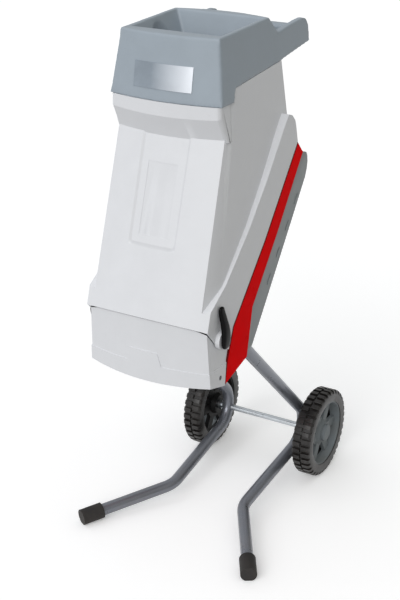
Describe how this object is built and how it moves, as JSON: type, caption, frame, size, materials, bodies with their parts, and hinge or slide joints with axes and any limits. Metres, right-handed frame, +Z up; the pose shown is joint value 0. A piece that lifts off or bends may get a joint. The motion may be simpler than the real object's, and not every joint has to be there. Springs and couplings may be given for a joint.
{
  "type": "electric garden shredder",
  "caption": "Upright electric garden shredder on a bent tube stand with wheels: hopper and feed housing tilt off an inclined, motor-driven cutter deck, clamped by side levers.",
  "frame": {"origin": "on the floor, under the middle of the outline seen from above", "axes": "+Z up; the front panel faces -Y and the wheels are at +Y; +X is the machine's left-hand wheel seen from behind, which is the right-hand wheel seen from the front"},
  "size_m": [0.3882, 0.5542, 0.9555],
  "materials": {
    "white_shell": "fine moulded grain, satin",
    "grey_blue_shell": "fine moulded grain, satin",
    "red_deck": "glossy enamel",
    "grey_cover": "fine moulded grain",
    "label_metal": "satin, bare",
    "tube_paint": "silver-grey powder coat",
    "foot_rubber": "matt",
    "tyre_rubber": "matt with tread",
    "rim_plastic": "satin",
    "bush_plastic": "plain",
    "zinc_steel": "zinc plated",
    "dark_screws": "blackened",
    "black_gloss": "polished",
    "motor_paint": "plain paint",
    "motor_steel": "turned",
    "copper": "turned",
    "carbon": "plain",
    "fan_plastic": "plain",
    "cutter_steel": "ground",
    "chute_plastic": "plain",
    "panel_plastic": "satin",
    "pin_brass": "plain",
    "tongue_plastic": "plain",
    "green_button": "polished",
    "red_button": "polished",
    "white_button": "plain"
  },
  "bodies": {
    "base": {"cutter_deck": "red_deck", "motor_cover": "grey_cover", "cover_screws": "dark_screws", "lower_guard": "white_shell", "guard_screws": "dark_screws", "frame_tube_left": "tube_paint", "frame_tube_right": "tube_paint", "frame_bolts": "zinc_steel", "frame_nuts": "zinc_steel", "foot_cap_left": "foot_rubber", "foot_cap_right": "foot_rubber", "axle": "zinc_steel", "axle_spacers": "zinc_steel", "wheel_clips": "zinc_steel", "hinge_pin": "zinc_steel", "motor_can": "motor_paint", "motor_screws": "zinc_steel", "stator": "motor_steel", "motor_bearings": "motor_steel", "motor_brushes": "carbon", "switch_panel": "panel_plastic", "switch_block": "panel_plastic", "overload_breaker": "panel_plastic", "power_inlet": "panel_plastic", "inlet_pins": "pin_brass", "safety_switch": "panel_plastic"},
    "rotor": {"motor_shaft": "motor_steel", "armature": "motor_steel", "commutator": "copper", "cooling_fan": "fan_plastic", "cutter_disc": "cutter_steel", "cutter_blades": "cutter_steel", "blade_screws": "cutter_steel", "disc_bolt": "cutter_steel"},
    "housing": {"upper_housing": "white_shell", "hopper": "grey_blue_shell", "feed_chute": "chute_plastic", "counter_blade": "cutter_steel", "counter_screws": "cutter_steel", "label_plate": "label_metal", "safety_tongue": "tongue_plastic"},
    "lever_left_arm": {"lever_left": "black_gloss", "lever_stud_left": "zinc_steel"},
    "lever_right_arm": {"lever_right": "black_gloss", "lever_stud_right": "zinc_steel"},
    "wheel_left": {"rim_left": "rim_plastic", "tyre_left": "tyre_rubber", "wheel_bush_left": "bush_plastic", "hub_cap_left": "rim_plastic"},
    "wheel_right": {"rim_right": "rim_plastic", "tyre_right": "tyre_rubber", "wheel_bush_right": "bush_plastic", "hub_cap_right": "rim_plastic"},
    "on_button_cap": {"on_button": "green_button"},
    "off_button_cap": {"off_button": "red_button"},
    "reset_button_cap": {"reset_button": "white_button"}
  },
  "joints": [
    {"name": "wheel_left_spin", "type": "hinge", "parent": "base", "child": "wheel_left", "pos_m": [-0.125, 0.18711, 0.09], "axis": [1, 0, 0], "continuous": true},
    {"name": "wheel_right_spin", "type": "hinge", "parent": "base", "child": "wheel_right", "pos_m": [0.125, 0.18711, 0.09], "axis": [1, 0, 0], "continuous": true},
    {"name": "cutter_spin", "type": "hinge", "parent": "base", "child": "rotor", "pos_m": [0, -0.06089, 0.587], "axis": [0, -0.766, 0.6428], "continuous": true},
    {"name": "housing_tilt", "type": "hinge", "parent": "base", "child": "housing", "pos_m": [0, 0.06911, 0.738], "axis": [-1, 0, 0], "range_deg": [0, 75]},
    {"name": "lever_left_turn", "type": "hinge", "parent": "housing", "child": "lever_left_arm", "pos_m": [-0.13, -0.21989, 0.463], "axis": [1, 0, 0], "range_deg": [0, 100]},
    {"name": "lever_right_turn", "type": "hinge", "parent": "housing", "child": "lever_right_arm", "pos_m": [0.13, -0.21989, 0.463], "axis": [1, 0, 0], "range_deg": [0, 100]},
    {"name": "on_press", "type": "slide", "parent": "base", "child": "on_button_cap", "axis": [0, -0.819, 0.5738], "range_m": [0, 0.0035], "stiffness_N_per_m": 400},
    {"name": "off_press", "type": "slide", "parent": "base", "child": "off_button_cap", "axis": [0, -0.819, 0.5738], "range_m": [0, 0.0035], "stiffness_N_per_m": 400},
    {"name": "reset_press", "type": "slide", "parent": "base", "child": "reset_button_cap", "axis": [0, -0.819, 0.5738], "range_m": [0, 0.0035], "stiffness_N_per_m": 400}
  ]
}
